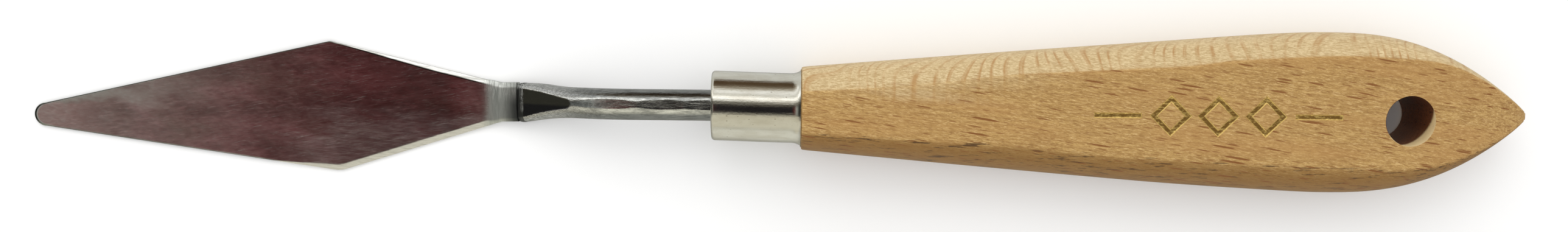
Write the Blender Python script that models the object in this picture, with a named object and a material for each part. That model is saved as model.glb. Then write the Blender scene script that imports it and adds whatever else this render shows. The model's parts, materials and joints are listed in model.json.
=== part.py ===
"""Cranked painting knife: a diamond blade welded to a forged steel neck, a ferrule and a beech handle.

It lies on its back with the blade's underside and the handle's back on z = 0. X runs from the
blade's tip to the handle's tail, Z points up through the handle's stamped face. Metres.
"""

import math

import bmesh
import bpy
from mathutils import Vector
from mathutils.geometry import interpolate_bezier

MM = 0.001
GAP = 0.3 * MM  # left between neighbours that touch on the real object

# Driving dimensions along the knife
HANDLE_LENGTH = 109.0 * MM
FERRULE_LENGTH = 13.2 * MM
NECK_RUN = 30.0 * MM  # from the ferrule's front to the weld
BLADE_LENGTH = 75.6 * MM

# Handle
BELLY_HALF_WIDTH = 12.1 * MM
BELLY_FROM_FRONT = 78.2 * MM
HALF_THICKNESS = 6.5 * MM
COLLAR_RADIUS = 6.26 * MM  # the handle's front end, next to the ferrule
COLLAR_RUN = 12.0 * MM  # over which the collar grows to the full thickness
SWELL_RUN = 26.2 * MM  # the front of the swell points from the collar to this place
SWELL_HALF_WIDTH = 8.54 * MM
SWELL_EASE = 9.25 * MM  # the outline runs level into and out of the belly over these lengths
TAIL_EASE = 8.35 * MM
TAIL_BEND_RUN = 13.1 * MM  # the tail's end points from this far ahead of it
TAIL_BEND_HALF_WIDTH = 12.2 * MM
TAIL_TIP_RADIUS = 0.3 * MM
FLAT_SHARE_FRONT = 0.45  # the flat faces' share of the width, at the front and at the belly
FLAT_SHARE_BELLY = 0.70
CREASE = math.radians(25)  # where the rounded side leaves the flat face, off level
HOLE_RADIUS = 3.75 * MM
HOLE_FROM_FRONT = 89.6 * MM
HOLE_OFFSET = -0.45 * MM

# Ferrule, neck and tang
FERRULE_RADIUS = 5.25 * MM
FERRULE_WALL = 0.45 * MM
FLARE_RADIUS = 5.9 * MM
FLARE_LENGTH = 1.4 * MM
FLARE_RISE = 0.2 * MM  # how far the flare has opened halfway along
FERRULE_EDGE = 0.4 * MM
ROD_RADIUS = 2.35 * MM
TANG_DEPTH = 38.0 * MM  # inside the handle, behind its front face
GLUE_WALL = 0.4 * MM
GLUE_SHORT = 2.0 * MM  # the glue stops this far ahead of the tang's end

# The neck's double bend, from the rod's line down to the blade's plane
BEND_ANGLE = math.radians(20)
REAR_BEND_RUN = 8.0 * MM
FRONT_BEND_RUN = 5.6 * MM  # the dished root of the blade
WELD_LENGTH = 0.9 * MM

# The flattened wedge at the neck's front
WEDGE_LENGTH = 9.0 * MM
WEDGE_HALF_WIDTH = 3.05 * MM
WEDGE_HALF_DEPTH = 1.0 * MM
FACET_HALF_GAP = 0.62 * MM  # half the thickness left between the two flats

# Blade
BLADE_YAW = math.radians(2.1)  # how far the blade is set off the handle's line
FLEX_CENTRE = 17.0 * MM  # from the weld to the line that the springy blade bends about
TIP_RADIUS = 1.8 * MM
ROOT_HALF_WIDTH = 2.93 * MM
ROOT_RUN = 6.0 * MM  # over which the plate thickens, ahead of the dished root
ROOT_THICKNESS = 1.1 * MM
PLATE_THICKNESS = 0.6 * MM
TIP_THICKNESS = 0.45 * MM
EDGE_THICKNESS = 0.25 * MM
BEVEL_WIDTH = 0.9 * MM
# The blade's two corners: half width, distance from the tip, radius
PLUS_Y_CORNER = (10.2 * MM, 46.5 * MM, 1.0 * MM)
MINUS_Y_CORNER = (10.0 * MM, 47.1 * MM, 4.0 * MM)
CORNER_REACH = 0.9 * MM  # past the corners on both sides, where the outline is taken finely

# Gold foil ornament on the stamped face: three lozenges between two rules
FOIL_FROM_FRONT = 61.2 * MM
LOZENGE_HALF_LENGTH = 3.1 * MM
LOZENGE_HALF_WIDTH = 3.1 * MM
LOZENGE_PITCH = 7.0 * MM
LOZENGE_BAND = 0.8 * MM
RULE_LENGTH = 7.0 * MM
RULE_WIDTH = 0.8 * MM
RULE_SPACE = 1.2 * MM  # between a rule and the lozenge next to it
FOIL_THICKNESS = 0.2 * MM
FOIL_SINK = 0.1 * MM

# Places along X, with the whole knife centred on the origin
OVERALL = HANDLE_LENGTH + GAP + FERRULE_LENGTH + NECK_RUN + BLADE_LENGTH
TAIL_X = OVERALL / 2
HANDLE_X = TAIL_X - HANDLE_LENGTH
FERRULE_REAR_X = HANDLE_X - GAP
FERRULE_X = FERRULE_REAR_X - FERRULE_LENGTH
WELD_X = FERRULE_X - NECK_RUN  # the blade's rear end
TOP_Z = 2 * HALF_THICKNESS
SPIGOT_RADIUS = FERRULE_RADIUS - FERRULE_WALL - GAP
GLUE_RADIUS = ROD_RADIUS + GAP + GLUE_WALL
BORE_RADIUS = GLUE_RADIUS + GAP
FOIL_X = HANDLE_X + FOIL_FROM_FRONT
RULE_OFFSET = LOZENGE_PITCH + LOZENGE_HALF_LENGTH + RULE_SPACE + RULE_LENGTH / 2

OVERCUT = 1.0 * MM  # cutters reach this far past the faces they open
SPIGOT_OVERLAP = 2.0 * MM  # how deep the spigot is rooted in the handle
SHARP_ANGLE = math.radians(32)

ROD_SIDES = 24
BORE_SIDES = 40
FERRULE_SIDES = 48
CORNER_STEPS = 6
SWELL_POINTS = 15
TAIL_POINTS = 17


def clear_scene():
    for item in list(bpy.data.objects):
        bpy.data.objects.remove(item, do_unlink=True)


def make_material(name, colour, roughness, metallic=0.0):
    material = bpy.data.materials.new(name)
    material.use_nodes = True
    shader = material.node_tree.nodes["Principled BSDF"]
    shader.inputs["Base Color"].default_value = (*colour, 1.0)
    shader.inputs["Roughness"].default_value = roughness
    shader.inputs["Metallic"].default_value = metallic
    material.diffuse_color = (*colour, 1.0)
    return material


def add_object(name, mesh_builder, material=None):
    """A named object from a bmesh, smooth but for its sharp edges."""
    mesh = bpy.data.meshes.new(name)
    bmesh.ops.recalc_face_normals(mesh_builder, faces=mesh_builder.faces)
    mesh_builder.to_mesh(mesh)
    mesh_builder.free()
    mesh.shade_smooth()
    mesh.set_sharp_from_angle(angle=SHARP_ANGLE)
    item = bpy.data.objects.new(name, mesh)
    bpy.context.scene.collection.objects.link(item)
    if material:
        mesh.materials.append(material)
    return item


def loft(name, rings, material=None):
    """A closed body through rings of points, with flat ends."""
    builder = bmesh.new()
    loops = [[builder.verts.new(point) for point in ring] for ring in rings]
    for ring, following in zip(loops, loops[1:]):
        for i, corner in enumerate(ring):
            before = i - 1
            builder.faces.new((ring[before], corner, following[i], following[before]))
    builder.faces.new(loops[0])
    builder.faces.new(loops[-1])
    return add_object(name, builder, material)


def circle(x, radius, sides, height):
    """A ring of points round the X direction."""
    turns = [2 * math.pi * i / sides for i in range(sides)]
    return [Vector((x, radius * math.cos(a), height + radius * math.sin(a))) for a in turns]


def prism(name, outline, low, high, material=None):
    """A flat outline in X and Y, extruded from one height to another."""
    builder = bmesh.new()
    face = builder.faces.new([builder.verts.new((x, y, low)) for x, y in outline])
    grown = bmesh.ops.extrude_face_region(builder, geom=[face])
    risen = [part for part in grown["geom"] if isinstance(part, bmesh.types.BMVert)]
    bmesh.ops.translate(builder, vec=(0, 0, high - low), verts=risen)
    return add_object(name, builder, material)


def cut(item, cutter):
    """Subtracts a cutter and keeps it as a wire guide."""
    cutter.hide_render = True
    cutter.display_type = "WIRE"
    boolean = item.modifiers.new("cut_" + cutter.name, "BOOLEAN")
    boolean.operation = "DIFFERENCE"
    boolean.object = cutter


def ease(share):
    """Rises from 0 to 1 with level ends."""
    share = min(max(share, 0.0), 1.0)
    return share * share * (3 - 2 * share)


# Handle


def handle_outline():
    """Half of the handle's outline: a slow swell to the belly, then a pointed tail."""
    belly = Vector((BELLY_FROM_FRONT, BELLY_HALF_WIDTH))
    swell = (
        Vector((0, COLLAR_RADIUS)),
        Vector((SWELL_RUN, SWELL_HALF_WIDTH)),
        belly - Vector((SWELL_EASE, 0)),
        belly,
    )
    tail = (
        belly,
        belly + Vector((TAIL_EASE, 0)),
        Vector((HANDLE_LENGTH - TAIL_BEND_RUN, TAIL_BEND_HALF_WIDTH)),
        Vector((HANDLE_LENGTH, TAIL_TIP_RADIUS)),
    )
    return interpolate_bezier(*swell, SWELL_POINTS)[:-1] + interpolate_bezier(*tail, TAIL_POINTS)


def handle_half_thickness(distance, half_width):
    if distance > BELLY_FROM_FRONT:
        return HALF_THICKNESS * math.sqrt(half_width / BELLY_HALF_WIDTH)
    grown = ease(distance / COLLAR_RUN)
    return COLLAR_RADIUS + (HALF_THICKNESS - COLLAR_RADIUS) * grown


def handle_section(distance, half_width):
    """Flat above and below, with a soft crease to the rounded sides."""
    half = handle_half_thickness(distance, half_width)
    grown = min(distance / BELLY_FROM_FRONT, 1.0)
    flat = half_width * (FLAT_SHARE_FRONT + (FLAT_SHARE_BELLY - FLAT_SHARE_FRONT) * grown)
    across = (half_width - flat) / (1 - math.sin(CREASE))
    deep = half / math.cos(CREASE)
    turns = [(math.pi / 2 - CREASE) * i / CORNER_STEPS for i in range(CORNER_STEPS + 1)]
    side = [(half_width - across * (1 - math.cos(a)), deep * math.sin(a)) for a in turns]
    top = side + [(-y, z) for y, z in reversed(side)]
    bottom = [(y, -z) for y, z in reversed(top[1:-1])]
    x = HANDLE_X + distance
    return [Vector((x, y, HALF_THICKNESS + z)) for y, z in top + bottom]


def make_handle(material):
    sections = [handle_section(point.x, point.y) for point in handle_outline()]
    handle = loft("handle", sections, material)

    spigot_front = FERRULE_X + FERRULE_WALL + GAP
    spigot_back = HANDLE_X + SPIGOT_OVERLAP
    spigot = loft(
        "spigot_guide",
        [circle(x, SPIGOT_RADIUS, BORE_SIDES, HALF_THICKNESS) for x in (spigot_front, spigot_back)],
    )
    spigot.hide_render = True
    spigot.display_type = "WIRE"
    union = handle.modifiers.new("spigot", "BOOLEAN")
    union.operation = "UNION"
    union.object = spigot

    bore_ends = (spigot_front - OVERCUT, HANDLE_X + TANG_DEPTH + 2 * GAP)
    bore = loft("tang_bore", [circle(x, BORE_RADIUS, BORE_SIDES, HALF_THICKNESS) for x in bore_ends])
    cut(handle, bore)

    turns = [2 * math.pi * i / BORE_SIDES for i in range(BORE_SIDES)]
    hole_x = HANDLE_X + HOLE_FROM_FRONT
    rim = [
        (hole_x + HOLE_RADIUS * math.cos(a), HOLE_OFFSET + HOLE_RADIUS * math.sin(a)) for a in turns
    ]
    cut(handle, prism("hanging_bore", rim, -OVERCUT, TOP_Z + OVERCUT))
    return handle


# Gold foil ornament, each mark sunk in a recess of its own shape


def lozenge(centre_x, grow):
    long, wide = LOZENGE_HALF_LENGTH + grow, LOZENGE_HALF_WIDTH + grow
    return [(centre_x + long, 0), (centre_x, wide), (centre_x - long, 0), (centre_x, -wide)]


def rule(centre_x, grow):
    long, wide = RULE_LENGTH / 2 + grow, RULE_WIDTH / 2 + grow
    corners = ((long, -wide), (long, wide), (-long, wide), (-long, -wide))
    return [(centre_x + x, y) for x, y in corners]


def make_foil(handle, material):
    foil_top = TOP_Z - FOIL_SINK
    foil_bottom = foil_top - FOIL_THICKNESS
    recess_floor = foil_bottom - GAP
    marks = {
        "foil_rule_front": (rule, -RULE_OFFSET),
        "foil_lozenge_front": (lozenge, -LOZENGE_PITCH),
        "foil_lozenge_middle": (lozenge, 0.0),
        "foil_lozenge_rear": (lozenge, LOZENGE_PITCH),
        "foil_rule_rear": (rule, RULE_OFFSET),
    }
    for name, (shape, offset) in marks.items():
        centre_x = FOIL_X + offset
        mark = prism(name, shape(centre_x, 0), foil_bottom, foil_top, material)
        cut(handle, prism(name + "_recess", shape(centre_x, GAP), recess_floor, TOP_Z + OVERCUT))
        if shape is lozenge:
            opening = prism(
                name + "_window",
                lozenge(centre_x, -LOZENGE_BAND * math.sqrt(2)),
                foil_bottom - GAP / 2,
                foil_top + GAP / 2,
            )
            cut(mark, opening)


# Ferrule: a drawn cup, its front wall pierced for the rod, flared at the mouth


def make_ferrule(material):
    body_end = FERRULE_REAR_X - FLARE_LENGTH
    quarter = [math.pi / 2 * i / 3 for i in range(4)]
    nose = [
        (
            FERRULE_X + FERRULE_EDGE * (1 - math.sin(a)),
            FERRULE_RADIUS - FERRULE_EDGE * (1 - math.cos(a)),
        )
        for a in quarter
    ]
    rod_hole = ROD_RADIUS + GAP
    outer = nose + [(FERRULE_X, rod_hole)]
    flare = [
        (FERRULE_REAR_X, FLARE_RADIUS),
        (body_end + FLARE_LENGTH / 2, FERRULE_RADIUS + FLARE_RISE),
    ]
    inner = [
        (FERRULE_X + FERRULE_WALL, rod_hole),
        (FERRULE_X + FERRULE_WALL, FERRULE_RADIUS - FERRULE_WALL),
        (body_end, FERRULE_RADIUS - FERRULE_WALL),
        (FERRULE_REAR_X, FLARE_RADIUS - FERRULE_WALL),
    ]
    outline = flare + [(body_end, FERRULE_RADIUS)] + outer + inner

    builder = bmesh.new()
    points = [builder.verts.new((x, radius, HALF_THICKNESS)) for x, radius in outline]
    edges = [builder.edges.new((points[i - 1], point)) for i, point in enumerate(points)]
    bmesh.ops.spin(
        builder,
        geom=points + edges,
        cent=(0, 0, HALF_THICKNESS),
        axis=(1, 0, 0),
        angle=2 * math.pi,
        steps=FERRULE_SIDES,
        use_merge=True,
    )
    return add_object("ferrule", builder, material)


# Neck and blade root follow one line in side view: level, down the ramp, level again


REAR_BEND_RADIUS = REAR_BEND_RUN / math.sin(BEND_ANGLE)
FRONT_BEND_RADIUS = FRONT_BEND_RUN / math.sin(BEND_ANGLE)
BLADE_Z = PLATE_THICKNESS / 2
BEND_DROP = (REAR_BEND_RADIUS + FRONT_BEND_RADIUS) * (1 - math.cos(BEND_ANGLE))
RAMP_RUN = (HALF_THICKNESS - BLADE_Z - BEND_DROP) / math.tan(BEND_ANGLE)
FRONT_BEND_X = WELD_X - FRONT_BEND_RUN
REAR_BEND_X = WELD_X + RAMP_RUN
ROD_X = REAR_BEND_X + REAR_BEND_RUN


def centre_line(x):
    """Height and slope of the steel's centre line at x."""
    if x <= FRONT_BEND_X:
        return BLADE_Z, 0.0
    if x < WELD_X:
        angle = math.asin((x - FRONT_BEND_X) / FRONT_BEND_RADIUS)
        return BLADE_Z + FRONT_BEND_RADIUS * (1 - math.cos(angle)), angle
    if x < REAR_BEND_X:
        start = BLADE_Z + FRONT_BEND_RADIUS * (1 - math.cos(BEND_ANGLE))
        return start + (x - WELD_X) * math.tan(BEND_ANGLE), BEND_ANGLE
    if x < ROD_X:
        angle = math.asin((ROD_X - x) / REAR_BEND_RADIUS)
        return HALF_THICKNESS - REAR_BEND_RADIUS * (1 - math.cos(angle)), angle
    return HALF_THICKNESS, 0.0


def neck_section(x):
    """Round rod that spreads and flattens towards the blade, square to the centre line."""
    height, slope = centre_line(x)
    grown = min(max((x - WELD_X) / WEDGE_LENGTH, 0.0), 1.0)
    half_width = WEDGE_HALF_WIDTH + (ROD_RADIUS - WEDGE_HALF_WIDTH) * ease(grown)
    half_depth = WEDGE_HALF_DEPTH + (ROD_RADIUS - WEDGE_HALF_DEPTH) * grown
    half_gap = FACET_HALF_GAP + (ROD_RADIUS - FACET_HALF_GAP) * grown
    ring = []
    for i in range(ROD_SIDES):
        turn = 2 * math.pi * i / ROD_SIDES
        across = half_width * math.cos(turn)
        deep = max(-half_gap, min(half_gap, half_depth * math.sin(turn)))
        ring.append(Vector((x - deep * math.sin(slope), across, height + deep * math.cos(slope))))
    return ring


def spread(start, end, steps):
    return [start + (end - start) * i / steps for i in range(steps)]


def make_neck(material):
    wedge_x = WELD_X + WELD_LENGTH + 2 * GAP
    apex_x = WELD_X + WEDGE_LENGTH
    places = spread(wedge_x, apex_x, 6) + spread(apex_x, REAR_BEND_X, 2)
    places += spread(REAR_BEND_X, ROD_X, 6) + [ROD_X, HANDLE_X + TANG_DEPTH]
    return loft("neck", [neck_section(x) for x in places], material)


def make_weld(material):
    """The ground bead between the neck's wedge and the blade's root."""
    places = (WELD_X + GAP, WELD_X + GAP + WELD_LENGTH / 2, WELD_X + GAP + WELD_LENGTH)
    return loft("weld", [neck_section(x) for x in places], material)


def make_glue(material):
    """Adhesive round the tang, closed by the bore's end behind it."""
    front = FERRULE_X + FERRULE_WALL + GAP
    back = HANDLE_X + TANG_DEPTH - GLUE_SHORT
    sleeve = loft(
        "tang_adhesive",
        [circle(x, GLUE_RADIUS, ROD_SIDES, HALF_THICKNESS) for x in (front, back)],
        material,
    )
    tang_way = loft(
        "tang_way",
        [
            circle(x, ROD_RADIUS + GAP, ROD_SIDES, HALF_THICKNESS)
            for x in (front - OVERCUT, back + OVERCUT)
        ],
    )
    cut(sleeve, tang_way)
    return sleeve


# Blade, built round the line it bends about, with the tip towards -X


def blade_half_width(distance, corner):
    """Half width on one side: two straight tapers, eased round the tip and the corner."""
    if distance < TIP_RADIUS:
        return math.sqrt(TIP_RADIUS**2 - (TIP_RADIUS - distance) ** 2)
    half_width, from_tip, radius = corner
    back_run = BLADE_LENGTH - FRONT_BEND_RUN / 2 - from_tip
    front_slope = (half_width - TIP_RADIUS) / (from_tip - TIP_RADIUS)
    back_slope = (half_width - ROOT_HALF_WIDTH) / back_run
    front = TIP_RADIUS + (distance - TIP_RADIUS) * front_slope
    back = half_width - (distance - from_tip) * back_slope
    corner_run = radius * (front_slope + back_slope) / 2
    into_corner = distance - from_tip + corner_run
    if 0 < into_corner < 2 * corner_run:
        return front - into_corner**2 / (2 * radius)
    return min(front, max(back, ROOT_HALF_WIDTH))


def blade_thickness(distance):
    root_starts = BLADE_LENGTH - FRONT_BEND_RUN - ROOT_RUN
    if distance > root_starts:
        grown = ease((distance - root_starts) / (BLADE_LENGTH - root_starts))
        return PLATE_THICKNESS + (ROOT_THICKNESS - PLATE_THICKNESS) * grown
    thinned = 1 - min(distance / PLUS_Y_CORNER[1], 1.0)
    return PLATE_THICKNESS + (TIP_THICKNESS - PLATE_THICKNESS) * thinned


def blade_section(distance):
    """Flat underside, flat top, ground bevels along both edges."""
    from_weld = distance - BLADE_LENGTH
    height, slope = centre_line(WELD_X + from_weld)
    x, rise = from_weld + FLEX_CENTRE, height - BLADE_Z
    plus_y = blade_half_width(distance, PLUS_Y_CORNER)
    minus_y = -blade_half_width(distance, MINUS_Y_CORNER)
    bevel = min(BEVEL_WIDTH, (plus_y - minus_y) / 6)
    bottom = -PLATE_THICKNESS / 2
    top = bottom + blade_thickness(distance)
    edge = bottom + EDGE_THICKNESS
    outline = (
        (plus_y, bottom),
        (plus_y, edge),
        (plus_y - bevel, top),
        (minus_y + bevel, top),
        (minus_y, edge),
        (minus_y, bottom),
    )
    return [
        Vector((x - up * math.sin(slope), across, rise + up * math.cos(slope)))
        for across, up in outline
    ]


def make_blade(material):
    tip = [TIP_RADIUS * (1 - math.cos(math.pi / 2 * i / 6)) for i in range(1, 6)]
    corners_start = PLUS_Y_CORNER[1] - CORNER_REACH
    corners_end = MINUS_Y_CORNER[1] + CORNER_REACH
    root = BLADE_LENGTH - FRONT_BEND_RUN
    places = tip + spread(TIP_RADIUS, corners_start, 6)
    places += spread(corners_start, corners_end, 8)
    places += spread(corners_end, root, 5)
    places += spread(root, BLADE_LENGTH, 6) + [BLADE_LENGTH]
    blade = loft("blade", [blade_section(distance) for distance in places], material)
    ahead_of_weld = Vector((math.cos(BLADE_YAW), math.sin(BLADE_YAW), 0)) * FLEX_CENTRE
    blade.location = Vector((WELD_X, 0, BLADE_Z)) - ahead_of_weld
    blade.rotation_euler = (0, 0, BLADE_YAW)
    return blade


def main():
    clear_scene()
    beech = make_material("lacquered_beech", (0.70, 0.48, 0.28), 0.42)
    polished = make_material("polished_steel", (0.62, 0.61, 0.60), 0.16, 1.0)
    brushed = make_material("ground_steel", (0.42, 0.43, 0.45), 0.34, 1.0)
    seam = make_material("weld_steel", (0.34, 0.35, 0.36), 0.45, 1.0)
    nickel = make_material("nickel_plate", (0.76, 0.73, 0.66), 0.2, 1.0)
    glue = make_material("epoxy", (0.72, 0.62, 0.38), 0.35)
    gold = make_material("gold_foil", (0.83, 0.62, 0.22), 0.3, 1.0)

    handle = make_handle(beech)
    make_foil(handle, gold)
    make_ferrule(nickel)
    make_neck(brushed)
    make_weld(seam)
    make_glue(glue)
    make_blade(polished)


main()
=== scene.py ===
"""The looks of a cranked painting knife: beech handle, nickel ferrule, ground neck, polished blade."""

import json
import math

import bmesh
import bpy
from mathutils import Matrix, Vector
from mathutils.geometry import interpolate_bezier


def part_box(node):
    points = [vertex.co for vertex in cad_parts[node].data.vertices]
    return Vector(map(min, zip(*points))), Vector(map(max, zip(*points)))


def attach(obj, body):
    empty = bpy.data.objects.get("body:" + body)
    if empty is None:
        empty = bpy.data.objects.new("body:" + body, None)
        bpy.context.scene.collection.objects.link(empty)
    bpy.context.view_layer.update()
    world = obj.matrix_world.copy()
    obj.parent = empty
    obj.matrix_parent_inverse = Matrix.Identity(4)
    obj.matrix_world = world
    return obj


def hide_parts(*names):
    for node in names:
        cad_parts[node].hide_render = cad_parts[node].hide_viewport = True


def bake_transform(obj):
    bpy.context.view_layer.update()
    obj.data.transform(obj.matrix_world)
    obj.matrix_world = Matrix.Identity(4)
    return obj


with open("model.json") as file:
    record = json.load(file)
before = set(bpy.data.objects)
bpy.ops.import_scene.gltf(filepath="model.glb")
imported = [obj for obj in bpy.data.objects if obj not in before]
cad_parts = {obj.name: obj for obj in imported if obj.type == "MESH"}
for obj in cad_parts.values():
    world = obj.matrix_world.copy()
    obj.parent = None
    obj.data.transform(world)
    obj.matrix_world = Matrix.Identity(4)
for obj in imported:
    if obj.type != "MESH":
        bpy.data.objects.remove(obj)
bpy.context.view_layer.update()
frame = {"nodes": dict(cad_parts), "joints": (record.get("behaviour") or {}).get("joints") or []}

MM = 0.001
GAP = 0.3 * MM  # the CAD leaves this between pieces that touch here

# Places and sizes read from the CAD
handle_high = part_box("handle")[1]
ferrule_low, ferrule_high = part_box("ferrule")
neck_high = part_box("neck")[1]
blade_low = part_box("blade")[0]

TOP_Z = handle_high.z
HALF_THICKNESS = TOP_Z / 2
BELLY_HALF_WIDTH = handle_high.y
TAIL_X = handle_high.x
FERRULE_X = ferrule_low.x
HANDLE_X = ferrule_high.x + GAP
HANDLE_LENGTH = TAIL_X - HANDLE_X
FLARE_RADIUS = (ferrule_high.y - ferrule_low.y) / 2
ROD_RADIUS = neck_high.z - HALF_THICKNESS
TANG_END_X = neck_high.x

PIVOT = Vector(frame["joints"][0]["pos_m"])
PIVOT_AXIS = Vector(frame["joints"][0]["axis"])
TO_TIP = Vector((-PIVOT_AXIS.y, PIVOT_AXIS.x, 0))
TO_LEFT = Vector((TO_TIP.y, -TO_TIP.x, 0))  # across the blade, towards +Y
FLEX_CENTRE = 17 * MM  # from the blade's rear end to the pivot
WELD = Vector((PIVOT.x, PIVOT.y, 0)) - TO_TIP * FLEX_CENTRE
BLADE_LENGTH = (WELD.x - blade_low.x) / -TO_TIP.x

# Ferrule
FLARE_RISE = 0.65 * MM
FERRULE_RADIUS = FLARE_RADIUS - FLARE_RISE
FERRULE_WALL = 0.42 * MM

# Handle
BELLY_FROM_FRONT = 78.2 * MM
COLLAR_RADIUS = 6.26 * MM
COLLAR_RUN = 12 * MM
# Bezier handles of the outline: (run, half width), and the level runs on both sides of the belly
SWELL_BEND = (26.2 * MM, 8.54 * MM)
SWELL_EASE = 9.25 * MM
TAIL_EASE = 8.35 * MM
TAIL_BEND = (13.1 * MM, 12.2 * MM)
TAIL_TIP_RADIUS = 0.4 * MM
CREASE = math.radians(25)
CREASE_EASE = 0.55 * MM
# The flat face's share of the half width on each side: (from the front face, share)
PLUS_Y_FLAT = ((0, 0.45), (12, 0.47), (34, 0.64), (56, 0.65), (64, 0.70), (86, 0.72), (98, 0.82))
MINUS_Y_FLAT = ((0, 0.50), (29, 0.52), (48, 0.60), (80, 0.64), (98, 0.73))
HOLE_RADIUS = 3.75 * MM
HOLE = Vector((HANDLE_X + 89.6 * MM, -0.45 * MM, 0))
RIM_CHAMFER = 0.16 * MM
SPIGOT_RADIUS = FERRULE_RADIUS - FERRULE_WALL - 0.03 * MM
BORE_RADIUS = ROD_RADIUS + 0.75 * MM  # just clear of the adhesive

# Neck
BEND_ANGLE = math.radians(20)
REAR_BEND_RUN = 8 * MM
FRONT_BEND_RUN = 5.6 * MM
ROOT_SLOPE = math.radians(10)  # of the blade's root, between a sharp bend and the weld
ROOT_BEND_RUN = 2 * MM
WEDGE_LENGTH = 9 * MM
WEDGE_HALF_WIDTH = 3.05 * MM
WEDGE_HALF_DEPTH = 1.42 * MM
FACET_HALF_WIDTH = 2.45 * MM  # of the dark flat, where it leaves the weld
FACET_END_HALF_WIDTH = 0.66 * MM
FACET_RUN_OUT = 0.45 * MM
WELD_OVERLAP = 0.5 * MM  # of the weld on the blade
WELD_END = 1.9 * MM  # from the blade's rear end
# Shallow flats that grinding left on the rod's crown: middle from the weld, half length, depth
GRIND_FLATS = (
    (14.85 * MM, 4.6 * MM, 0.12 * MM),
    (22.75 * MM, 4.3 * MM, 0.13 * MM),
    (28.75 * MM, 3.6 * MM, 0.12 * MM),
)
GRIND_TILT = math.radians(-7)  # the flats face a little to -Y

# Blade
PLUS_Y_CORNER = (10.2 * MM, 46.5 * MM, 1 * MM)  # half width, distance from the tip, radius
MINUS_Y_CORNER = (10 * MM, 47.1 * MM, 4 * MM)
ROOT_HALF_WIDTH = 2.93 * MM
TIP_RADIUS = 1.8 * MM
ROOT_THICKNESS = 1.1 * MM
PLATE_THICKNESS = 0.6 * MM
TIP_THICKNESS = 0.45 * MM
FRONT_BEVEL = 0.12 * MM
# Width behind the corner, how far ahead of it the bevel starts to widen, the run of that, change at the root
PLUS_Y_BEVEL = (0.66 * MM, 0 * MM, 18 * MM, 0.2 * MM)
MINUS_Y_BEVEL = (0.90 * MM, 10 * MM, 11 * MM, -0.45 * MM)
BEVEL_SLOPE = math.tan(math.radians(16))
BEVEL_EASE = 0.12 * MM
EDGE_THICKNESS = 0.16 * MM
ROOT_RUN = 6 * MM  # over which the plate thickens, ahead of the dished root
NOSE_RIM = 0.22 * MM  # the extra width of the bevel round the tip
NOSE_RIM_RUN = 3 * MM
ROOT_SPREAD = 0.16 * MM  # forging leaves the root a little wider towards +Y
ROOT_EASE = 0.26 * MM  # and softer along its bevels

# How far the assembled knife strays from its straight CAD line, towards +Y
NECK_SKEW = 0.3 * MM
BELLY_STRAY = 0.2 * MM

# Fineness of the meshes
SIDES = 96
FERRULE_SIDES = 128
FACE_STEPS = 6
CREASE_STEPS = 6
FLANK_STEPS = 12
TOP_STEPS = 72
BOTTOM_STEPS = 12


# Helpers


def smooth_step(share):
    share = min(max(share, 0.0), 1.0)
    return share * share * (3 - 2 * share)


def mix(a, b, share):
    return a + (b - a) * share


def spread(start, end, steps):
    """Evenly spaced values from start up to, and without, end."""
    return [mix(start, end, i / steps) for i in range(steps)]


def stray(x):
    """The sideways offset of the real knife's centre line at x."""
    neck = smooth_step((HANDLE_X - x) / (16 * MM)) * smooth_step((x - WELD.x) / (5 * MM))
    belly = smooth_step((x - HANDLE_X - 50 * MM) / (25 * MM)) * smooth_step((TAIL_X - x) / (24 * MM))
    return NECK_SKEW * neck + BELLY_STRAY * belly


def new_piece(name, mesh, node, material, body="handle"):
    """A visible piece that stands for a CAD node and rides on a body, if one is named."""
    piece = bpy.data.objects.new(name, mesh)
    bpy.context.scene.collection.objects.link(piece)
    mesh.materials.append(material)
    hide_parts(node)
    if body:
        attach(piece, body)
    return piece


def loft_mesh(name, rings, caps=(0, -1), sharp=35):
    """A skin through rings of equal length, closed round each ring, with a face over the rings in caps."""
    builder = bmesh.new()
    loops = [[builder.verts.new(point) for point in ring] for ring in rings]
    for ring, following in zip(loops, loops[1:]):
        for i, corner in enumerate(ring):
            builder.faces.new((ring[i - 1], corner, following[i], following[i - 1]))
    for end in caps:
        builder.faces.new(loops[end])
    return finish_mesh(name, builder, sharp)


def finish_mesh(name, builder, sharp=35):
    bmesh.ops.recalc_face_normals(builder, faces=builder.faces)
    mesh = bpy.data.meshes.new(name)
    builder.to_mesh(mesh)
    builder.free()
    mesh.shade_smooth()
    mesh.set_sharp_from_angle(angle=math.radians(sharp))
    return mesh


def apply_modifiers(piece):
    """Replaces the mesh by its evaluated form and drops the modifiers."""
    graph = bpy.context.evaluated_depsgraph_get()
    finished = bpy.data.meshes.new_from_object(piece.evaluated_get(graph))
    piece.modifiers.clear()
    piece.data = finished


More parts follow.
